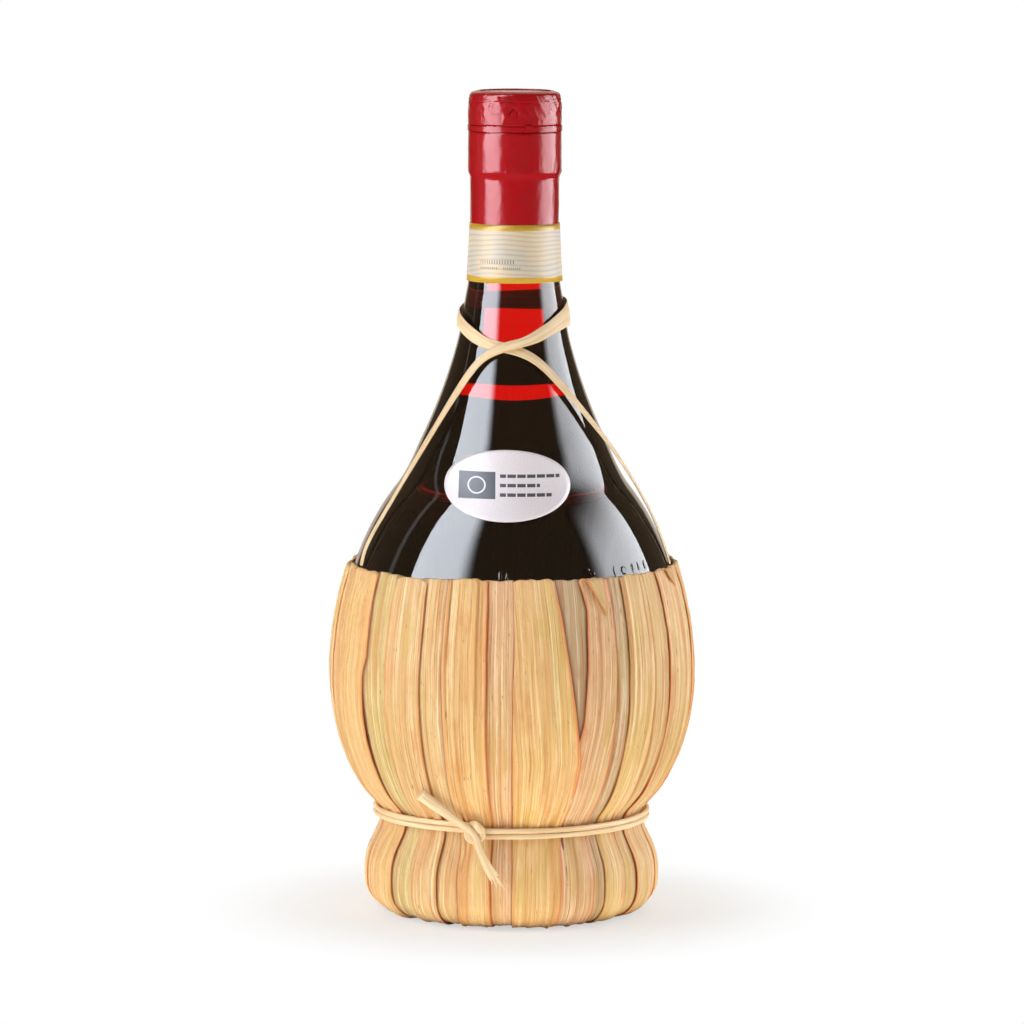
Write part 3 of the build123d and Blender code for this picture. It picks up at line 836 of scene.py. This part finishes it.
def build_corner(name, left, right, lowest, drop):
    """One leaf corner that lies on the outside below the rim."""
    verts, fibre, edge = [], [], []
    for v in np.arange(CORNER_STEPS + 1) / CORNER_STEPS:
        out = smooth_step(v * 5)
        for u in np.arange(CORNER_STEPS + 1) / CORNER_STEPS:
            narrow = 0.95 * v
            azimuth = (1 - narrow) * (left + (right - left) * u) + narrow * lowest
            point, normal = dress_place(length_at(rim_height(azimuth) - 0.4 - drop * v))
            lift = 0.42 * out - 0.7 * (1 - out) + 0.2 * out * wobble(u * 3, v * 3, left)
            verts.append(spot_at(azimuth, point[0] + normal[0] * lift, point[1] + normal[1] * lift))
            fibre.append((u * 12 - v * 7, v * drop + u * 7, left))
            edge.append(smooth_step((abs(2 * u - 1) - 0.6) / 0.4))
    tint = [(*LEAF_TINTS["straw"], 1.0)] * len(verts)
    corner = make_sheet(name, verts, CORNER_STEPS + 1, True, fibre=fibre, edge=edge, leaf_tint=tint)
    add_ply(corner, LEAF_PLY)
    return corner


for number, spread in enumerate(RIM_CORNERS, 1):
    settle(build_corner(f"rim_corner_{number}", *spread), leaf_look, "straw_leaf")


# Raffia strands
def spline_path(points, resolution=12):
    """Points read from a smooth NURBS spline that has a route's points as its control points."""
    curve = bpy.data.curves.new("route", "CURVE")
    curve.dimensions = "3D"
    spline = curve.splines.new("NURBS")
    spline.points.add(len(points) - 1)
    for control, point in zip(spline.points, points):
        control.co = (*point, 1)
    spline.order_u = 3
    spline.use_endpoint_u = True
    spline.resolution_u = resolution
    holder = bpy.data.objects.new("route", curve)
    mesh = bpy.data.meshes.new_from_object(holder)
    path = [tuple(v.co) for v in mesh.vertices]
    bpy.data.objects.remove(holder)
    bpy.data.curves.remove(curve)
    bpy.data.meshes.remove(mesh)
    return path


def strand(name, path, width, thick, facing, sides=18, seed=0):
    """Flattened strand along a path; width and thick are a length, or shares of the path with a length at each."""
    path = [np.array(p, dtype=float) for p in path]
    steps = np.concatenate([[0], np.cumsum([np.linalg.norm(b - a) for a, b in zip(path, path[1:])])])
    half, deep = (np.interp(steps / steps[-1], *(size if isinstance(size, tuple) else ((0, 1), (size, size)))) / 2
                  for size in (width, thick))
    groove = np.random.RandomState(seed).uniform(-0.10, 0.10, sides)
    verts, fibre = [], []
    for i, here in enumerate(path):
        before, after = path[max(i - 1, 0)], path[min(i + 1, len(path) - 1)]
        along = (after - before) / np.linalg.norm(after - before)
        out = np.array(facing(here), dtype=float)
        out -= along * out.dot(along)
        out /= np.linalg.norm(out)
        side = np.cross(along, out)
        wander = wobble(steps[i] * 0.12, seed * 3.1, 0.0)
        for k in range(sides):
            angle = 2 * pi * k / sides
            swell = 1 + groove[k] + 0.08 * wobble(k * 1.9, steps[i] * 0.15, seed)
            spot = here + side * half[i] * cos(angle) * (1 + 0.10 * wander)
            verts.append(tuple(spot + out * deep[i] * sin(angle) * swell))
            fibre.append((half[i] * cos(angle) + 0.3 * sin(angle), steps[i], seed * 1.7))
    rows = numbered_rows(len(path), sides)
    piece = make_object(name, verts, grid_faces(rows, True) + [tuple(rows[0][::-1]), tuple(rows[-1])])
    add_values(piece, fibre=fibre)
    return piece


def glass_facing(point):
    """Outward direction of the glass next to a point."""
    radial = np.array([point[0], point[1], 0.0])
    radial /= np.linalg.norm(radial)
    nr, nz = glass_slope(point[2])
    return radial * nr + np.array([0, 0, nz])


def round_facing(point):
    """Direction away from the axis."""
    return np.array([point[0], point[1], 0.0])


STRAP_ROUTE = (
    (-50.1, -17.4, 117.6), (-49.6, -17.3, 121.4), (-46.8, -17.4, 127.8), (-41.2, -17.5, 137.5),
    (-33.9, -17.3, 150.0), (-26.2, -17.2, 163.2), (-18.6, -18.0, 176.0), (-11.6, -18.7, 186.4),
    (-4.4, -21.2, 190.6), (5.4, -20.1, 192.8), (13.9, -13.5, 197.6), (19.0, -2.8, 200.8),
    (16.3, 9.8, 202.2), (7.2, 17.7, 202.9), (-4.6, 18.4, 202.6), (-14.6, 12.4, 201.6),
    (-19.0, 1.9, 199.9), (-17.6, -9.6, 197.0), (-9.6, -17.6, 191.4), (0.6, -20.1, 190.0),
    (8.4, -19.6, 186.2), (17.2, -18.4, 176.6), (25.6, -15.0, 166.3), (33.3, -12.0, 156.2),
    (40.3, -10.0, 145.2), (46.3, -9.0, 134.4), (50.0, -8.4, 125.0), (51.4, -8.3, 120.8),
    (52.3, -8.3, 117.6),
)
# Narrow on the shoulder, a flat ribbon at the neck's right
STRAP_WIDTHS = ((0, 0.25, 0.31, 0.37, 0.42, 0.50, 0.58, 0.64, 0.70, 0.8, 1.0),
                (3.0, 2.9, 3.1, 5.6, 8.2, 6.0, 5.0, 4.2, 3.2, 2.8, 2.6))
raffia_look = raffia_material()
strap = strand("neck_strap_strand", spline_path(STRAP_ROUTE), STRAP_WIDTHS, 0.75, glass_facing, seed=3)
settle(strap, raffia_look, "raffia", "neck_strap")

# Waist tie, two turns and the knot with its tails
TIE_RADIUS = 45.7
TIE_PITCH = 1.86
TIE_AZIMUTH = -14.0
TIE_TURNS = 2
TIE_STEPS = 120
tie_path = [spot_at(TIE_AZIMUTH + 360 * turn, TIE_RADIUS, WAIST_HEIGHT - TIE_TURNS * TIE_PITCH / 2 + TIE_PITCH * turn)
            for turn in np.arange(TIE_TURNS * TIE_STEPS + 1) / TIE_STEPS]
tie = strand("waist_tie_strand", tie_path, 1.75, 1.25, round_facing, seed=5)
settle(tie, raffia_look, "raffia", "waist_tie")

KNOT_DISTANCE = 49.3
knot_side = np.array(outward(TIE_AZIMUTH + 90))
knot_out = np.array(outward(TIE_AZIMUTH))
knot_centre = knot_out * KNOT_DISTANCE + np.array([0, 0, WAIST_HEIGHT])


def knot_place(side, out, up):
    """Point beside the knot's middle."""
    return knot_centre + knot_side * side + knot_out * out + np.array([0, 0, up])


def knot_facing(point):
    """Outward direction at the knot, the same for all its points."""
    return knot_out


TAIL_STEPS = (
    (-17.2, 4.6, 12.6), (-12.0, 2.2, 8.2), (-6.0, 1.2, 3.8), (0.0, 0.6, 0.0),
    (1.8, 1.8, -4.8), (4.2, 2.6, -9.6), (7.4, 2.6, -14.4),
)
TAIL_SHARES = (0, 0.3, 0.55, 0.8, 1)
tails = strand("knot_tails", spline_path([knot_place(*step) for step in TAIL_STEPS]),
               (TAIL_SHARES, (4.2, 3.2, 2.2, 2.6, 3.6)), (TAIL_SHARES, (2.4, 1.9, 1.4, 1.1, 0.6)), knot_facing, seed=9)
settle(tails, raffia_look, "raffia", "waist_knot")
loop_path = [knot_place(2.3 * cos(a), 0.9 * sin(2 * a), 2.6 * sin(a))
             for a in np.linspace(0, 2 * pi, 40)]
settle(strand("knot_wrap", loop_path, 2.7, 1.8, knot_facing, seed=11), raffia_look, "raffia")

# Frayed end of the lower tail: where each strip lies across, its lift and its reach
TAIL_STRIPS = ((-1.5, 0.3, 2.4), (-0.6, 0.7, 3.6), (0.4, 0.2, 3.0), (1.3, 0.6, 3.9))
for number, (across, lift, reach) in enumerate(TAIL_STRIPS, 1):
    root = (6.6 + 0.45 * across, 2.6, -13.0)
    tip = (7.4 + across * 1.3 + 0.5 * reach, 2.6 + lift, -14.0 - reach)
    half_way = tuple((a + b) / 2 + 0.2 * lift for a, b in zip(root, tip))
    fray = strand(f"tail_fray_{number}", spline_path([knot_place(*spot) for spot in (root, half_way, tip)]),
                  ((0, 1), (0.85, 0.30)), ((0, 1), (0.35, 0.20)), knot_facing, 8, 20 + number)
    settle(fray, raffia_look, "raffia")


# Capsule, band and sticker
CAPSULE_CLEARANCE = 0.08
CAPSULE_WALL = 0.30
SLEEVE_WALL = 0.18
SLEEVE_RADIUS = RING_RADIUS + CAPSULE_CLEARANCE + CAPSULE_WALL
SLEEVE_SEGMENTS = 224
TEAR_HEIGHT = 261.2
TEAR_WIDTH = 1.7
TEAR_SLIT = 0.15
CAPSULE_BOTTOM = 218.0
# Pressed corner at the capsule's top: azimuth, height, size in degrees and depth
DENT_AZIMUTH = 358.5
DENT_HEIGHT = 266.9
DENT_SIZE = 5.5
DENT_DEPTH = 0.36
# Inset and drop of the rounded top edge
CAP_EDGE = ((0.0, 4.0), (0.12, 3.5), (0.22, 3.25), (0.06, 2.95), (0.10, 2.65), (0.42, 2.1), (0.85, 1.4), (1.35, 0.8),
            (1.9, 0.35), (2.5, 0.1), (3.1, 0.0), (3.4, 0.06))


def film_shift(azimuth, radius, height):
    """Small wrinkles of the shrunk film, sharper at the top and at the glass ring's lower edge."""
    spot = outward(azimuth) * radius

    def ripple(across, up, start=0.0, slant=0.0):
        return wobble(spot.x * across + height * slant, spot.y * across, height * up + start)

    near_top = smooth_step((height - 262) / 5)
    near_step = exp(-((height - RING_HEIGHT - 1.0) / 2.6) ** 2)
    shift = 0.10 * ripple(0.16, 0.11) + 0.05 * ripple(0.5, 0.35)
    shift += (0.16 * near_top + 0.10 * near_step + 0.03) * (0.4 - min(abs(ripple(0.30, 0.20, 4, 0.12)) * 6, 1.0))
    shift += 0.14 * near_step * ripple(0.45, 0.3, 9)
    dent = hypot((azimuth - DENT_AZIMUTH + 180) % 360 - 180, (height - DENT_HEIGHT) * 3.2)
    shift -= DENT_DEPTH * exp(-((dent - DENT_SIZE) / 1.5) ** 2) * (1 if height > DENT_HEIGHT - 0.3 else 0.25)
    return min(shift - 0.04, 0.05)


def stations(low, high, count):
    """Heights from low to high."""
    return [low + (high - low) * i / count for i in range(count + 1)]


capsule_look = capsule_material("capsule_film", srgb(172, 10, 22))
offset = CAPSULE_CLEARANCE + CAPSULE_WALL
skirt_line = [(glass_radius(h) + offset, h) for h in stations(CAPSULE_BOTTOM, RING_HEIGHT - 0.8, 24)]
for share in np.arange(1, 9) / 8:
    step_radius = NECK_RADIUS + offset + (RING_RADIUS - NECK_RADIUS) * smooth_step(share)
    skirt_line.append((step_radius, RING_HEIGHT - 0.4 + 2.4 * share))
skirt_line += [(SLEEVE_RADIUS, h) for h in stations(RING_HEIGHT + 3.0, TEAR_HEIGHT - TEAR_SLIT, 12)]
skirt_inside = [(radius - SLEEVE_WALL, height) for radius, height in skirt_line[::-1]]
skirt = lathe("capsule_sleeve", skirt_line + skirt_inside, SLEEVE_SEGMENTS, film_shift)
settle(skirt, capsule_look, "capsule", "capsule_skirt")

cap_bottom = TEAR_HEIGHT + TEAR_WIDTH + TEAR_SLIT
cap_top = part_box("capsule_cap")[1][2] / MM
cap_line = [(SLEEVE_RADIUS, h) for h in stations(cap_bottom, cap_top - 4.4, 10)]
cap_line += [(SLEEVE_RADIUS - inset, cap_top - drop) for inset, drop in CAP_EDGE]
cap_line += [(SLEEVE_RADIUS - CAP_EDGE[-1][0], cap_top - CAPSULE_WALL)]
cap_line += fillet_arc((SLEEVE_RADIUS - MOUTH_ROUNDING, cap_top - MOUTH_ROUNDING), MOUTH_ROUNDING - CAPSULE_WALL,
                       90, 0, 9)
cap_line += [(SLEEVE_RADIUS - CAPSULE_WALL, cap_bottom)]
cap = lathe("capsule_top_sleeve", cap_line, SLEEVE_SEGMENTS, film_shift)
settle(cap, capsule_look, "capsule", "capsule_cap", body="capsule_top")

BAND_LAP_AZIMUTH = 78.0
BAND_LAP = 20
BAND_RADIUS = 15.5
BAND_GAP = 0.50
# Where and over how many degrees the band is loose
LOOSE_AZIMUTH = 95
LOOSE_REACH = 26
PAPER = 0.12


def build_band():
    """Paper band with its lap, a little loose at the right."""
    low, high = (corner[2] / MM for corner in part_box("neck_band"))
    slope = (FLARE_RADIUS - NECK_RADIUS) / (NECK_HEIGHT - FLARE_HEIGHT)
    columns, levels = 260, 10
    verts, label = [], []
    for share in np.arange(columns + 1) / columns:
        turned = (360 + BAND_LAP) * share
        azimuth = BAND_LAP_AZIMUTH - 2 + turned
        for j in range(levels + 1):
            up = (high - low) * j / levels
            loose = exp(-((azimuth - LOOSE_AZIMUTH) / LOOSE_REACH) ** 2) * (1 - j / levels)
            radius = NECK_RADIUS + slope * (NECK_HEIGHT - low - up) + BAND_GAP
            radius += 0.16 * smooth_step((turned - 350) / 14)
            radius += 0.28 * loose + 0.06 * wobble(share * 22, j * 0.4, 3.0)
            verts.append(spot_at(azimuth, radius, low + up))
            label.append((turned * radians(1) * BAND_RADIUS, up, 0.0))
    band = make_sheet("band_strip", verts, levels + 1, True, label=label)
    add_ply(band, PAPER)
    return band


settle(build_band(), band_material(), "band_paper", "neck_band")

STICKER_HALF_WIDTH = 22.0
STICKER_HALF_HEIGHT = 13.0
# Share of a length along the shoulder that is height
SHOULDER_SLANT = 0.86


def build_sticker():
    """Oval sticker on the shoulder."""
    low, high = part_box("oval_sticker")
    centre_x, centre_height = ((low[axis] + high[axis]) / 2 / MM for axis in (0, 2))
    rings, spokes = 14, 96
    verts, label = [], []
    for reach, angle in disc_places(rings, spokes):
        x, y = STICKER_HALF_WIDTH * reach * cos(angle), STICKER_HALF_HEIGHT * reach * sin(angle)
        height = centre_height + y * SHOULDER_SLANT
        radius = glass_radius(height) + PAPER
        verts.append(spot_at(degrees((x + centre_x) / radius), radius, height))
        label.append((x, y, 0.0))
    sticker = make_object("sticker_sheet", verts, disc_faces(0, rings, spokes))
    add_values(sticker, label=label)
    add_ply(sticker, PAPER, 1.0)
    return sticker


settle(build_sticker(), sticker_material(), "sticker_paper", "oval_sticker")


def rope_ring(name, node, shrink, lobes, twists, groove, columns, sides):
    """Closed ring of twisted strands in the space of a round node."""
    low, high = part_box(node)
    tube = (high[2] - low[2]) / 2 / MM * shrink
    height = (high[2] + low[2]) / 2 / MM
    path_radius = high[0] / MM - (high[2] - low[2]) / 2 / MM
    verts = []
    for turn in np.arange(columns) / columns:
        for k in range(sides):
            angle = 2 * pi * k / sides
            wrapped = angle + 2 * pi * twists * turn
            radius = tube * (1 - groove * (1 - abs(sin(lobes * wrapped / 2))) ** 1.5)
            radius *= 1 - 0.03 * (1 + wobble(cos(wrapped) * 3, sin(wrapped) * 3, turn * 40))
            verts.append(spot_at(360 * turn, path_radius + radius * cos(angle), height + radius * sin(angle)))
    rows = numbered_rows(columns, sides)
    return make_object(name, verts, grid_faces(rows + rows[:1], True, True))


settle(rope_ring("rim_hoop_cord", "rim_hoop", 0.72, 2, 150, 0.35, 1500, 10),
       plain_fibre_material("hoop_cord", srgb(150, 96, 52), srgb(92, 54, 28)), "hoop_cord", "rim_hoop")
settle(rope_ring("foot_ring_twist", "foot_ring", 0.99, 5, 9, 0.14, 420, 60),
       plain_fibre_material("twisted_leaf_ends", srgb(214, 176, 112), srgb(150, 108, 58)), "straw_ring", "foot_ring")

# Pieces of the frame that keep their shape
for name, look in (("capsule_disc", capsule_look), ("tear_strip", capsule_look), ("cork", cork_material())):
    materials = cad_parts[name].data.materials
    materials.clear()
    materials.append(look)


# Camera
CAMERA_DISTANCE = 2000.0
CAMERA_HEIGHT = 370.0
TARGET = (-0.3, 0.0, 133.74)
FOCAL_PIXELS = 6032.9
FRAME_PIXELS = 1024
SENSOR = 36.0
ROLL = 0.3
camera_data = bpy.data.cameras.new("camera")
camera_data.sensor_width = SENSOR
camera_data.lens = SENSOR * FOCAL_PIXELS / FRAME_PIXELS
camera_data.clip_end = 20
camera = bpy.data.objects.new("camera", camera_data)
camera.location = (0.0, -CAMERA_DISTANCE * MM, CAMERA_HEIGHT * MM)
aim = Vector(TARGET) * MM - camera.location
turned = aim.to_track_quat("-Z", "Y").to_matrix() @ Matrix.Rotation(radians(ROLL), 3, "Z")
camera.rotation_euler = turned.to_euler()
bpy.context.scene.collection.objects.link(camera)
bpy.context.scene.camera = camera


# Stage: pale floor, bright world for the camera, soft boxes and cards
def card(name, start, end, low, high, distance, strength, centre=150, seen_by="glossy", colour=(1, 1, 1),
         soft=0.0, droop=0.0, soft_top=0.0):
    """Upright curved card round the bottle from one azimuth to another, soft at its end and top for a share."""
    def fading(share, span):
        return smooth_step((1 - share) / span) if span else 1.0

    verts, fade = [], []
    columns, levels = 24, 16
    for across in np.arange(columns + 1) / columns:
        for up in np.arange(levels + 1) / levels:
            rise = distance * tan(radians(low + (high - low) * up)) - droop * (2 * across - 1) ** 2
            verts.append(spot_at(start + (end - start) * across, distance, centre + rise))
            fade.append(fading(across, soft) * fading(up, soft_top))
    piece = make_sheet(name, verts, levels + 1, True, False, fade=fade)
    look = Shader(name)
    power = look.both(look.attribute("fade", "Fac"), strength)
    look.feed(look.output.inputs["Surface"], look.emission(colour, power))
    piece.data.materials.append(look.material)
    piece.visible_camera = False
    piece.visible_diffuse = False
    piece.visible_shadow = False
    piece.visible_glossy = seen_by == "glossy"
    piece.visible_transmission = seen_by == "transmission"


card("soft_box_left", -80, -30, -7, 72, 900, 15.0, colour=(0.86, 0.91, 1.0), soft=0.3)
card("soft_box_right", 119, 62, -7, 52, 900, 9.5, colour=(0.93, 0.95, 1.0), soft=0.3, soft_top=0.5)
card("strip_left", -103, -99, -7, 60, 900, 0.8)
card("back_panel", 163, 197, -14.6, 60, 400, 1.6, 180, "transmission")
card("back_strip", 153, 207, -24.0, -21.2, 250, 1.7, 180, "transmission", droop=33)
card("back_edge", 155, 205, -9, 60, 900, 0.9, 180, colour=(1.0, 0.86, 0.72))


def area_light(name, azimuth, elevation, distance, width, height, power):
    """Soft lamp aimed at the bottle."""
    data = bpy.data.lights.new(name, "AREA")
    data.shape = "RECTANGLE"
    data.size = width
    data.size_y = height
    data.energy = power
    lamp = bpy.data.objects.new(name, data)
    away = outward(azimuth) * cos(radians(elevation)) + Vector((0, 0, sin(radians(elevation))))
    lamp.location = away * distance + Vector((0, 0, 0.13))
    lamp.rotation_euler = away.to_track_quat("Z", "Y").to_euler()
    lamp.visible_glossy = False
    lamp.visible_transmission = False
    bpy.context.scene.collection.objects.link(lamp)


area_light("key_left", -70, 22, 1.2, 0.7, 1.0, 7.4)
area_light("key_right", 76, 22, 1.2, 0.7, 1.0, 4.0)
area_light("front_soft", -10, 35, 1.6, 0.9, 0.9, 0.9)
area_light("top_soft", 180, 70, 1.3, 1.0, 1.0, 5)

# Floor: a table near the bottle that glows warm for diffuse rays beyond the foot as painted bounce light, white for
# the camera further out, and dark in reflections
floor = make_object("floor", [(-3000, -3000, 0), (3000, -3000, 0), (3000, 3000, 0), (-3000, 3000, 0)],
                    [(0, 1, 2, 3)], False)
look = Shader("floor_white")
rays = look.node("ShaderNodeLightPath").outputs
reach = look.node("ShaderNodeVectorMath", {0: look.position()}, operation="LENGTH").outputs["Value"]
mirrored = look.math("MAXIMUM", rays["Is Glossy Ray"], rays["Is Transmission Ray"])
dim = look.both(mirrored, look.range(reach, 0.07, 0.16))
look.set(Roughness=0.9, Specular_IOR_Level=0.0, Base_Color=look.mix(dim, (0.94, 0.94, 0.94), (0.01, 0.01, 0.01)))
# Painted bounce light: beyond the foot, the floor glows warm for diffuse rays and brightens the bottle's lower parts
table = look.blend(look.both(rays["Is Diffuse Ray"], look.range(reach, 0.045, 0.055)),
                   look.surface.outputs[0], look.emission((1.0, 0.98, 0.88), 2.3))
ground = look.blend(look.both(rays["Is Camera Ray"], look.range(reach, 0.052, 0.11, 0.6, 1.0, True)),
                    table, look.emission((1.0, 1.0, 1.0), 1.0))
look.feed(look.output.inputs["Surface"], ground)
floor.data.materials.append(look.material)

# World: dark and warm in reflections, white for the camera, a weak fill for the rest
world = bpy.data.worlds.new("studio")
bpy.context.scene.world = world
world.use_nodes = True
world.node_tree.nodes.clear()
sky = Nodes(world.node_tree)
rays = sky.node("ShaderNodeLightPath").outputs
fill, dark, white = (sky.node("ShaderNodeBackground", {"Color": colour, "Strength": strength}).outputs[0]
                     for colour, strength in (((1, 1, 1), 0.2), ((0.17, 0.115, 0.075), 1.0), ((1, 1, 1), 1.0)))
mirrored = sky.math("MAXIMUM", rays["Is Glossy Ray"], rays["Is Transmission Ray"])
around = sky.blend(rays["Is Camera Ray"], sky.blend(mirrored, fill, dark), white)
sky.node("ShaderNodeOutputWorld", {"Surface": around})

bpy.context.scene.view_settings.view_transform = "Standard"
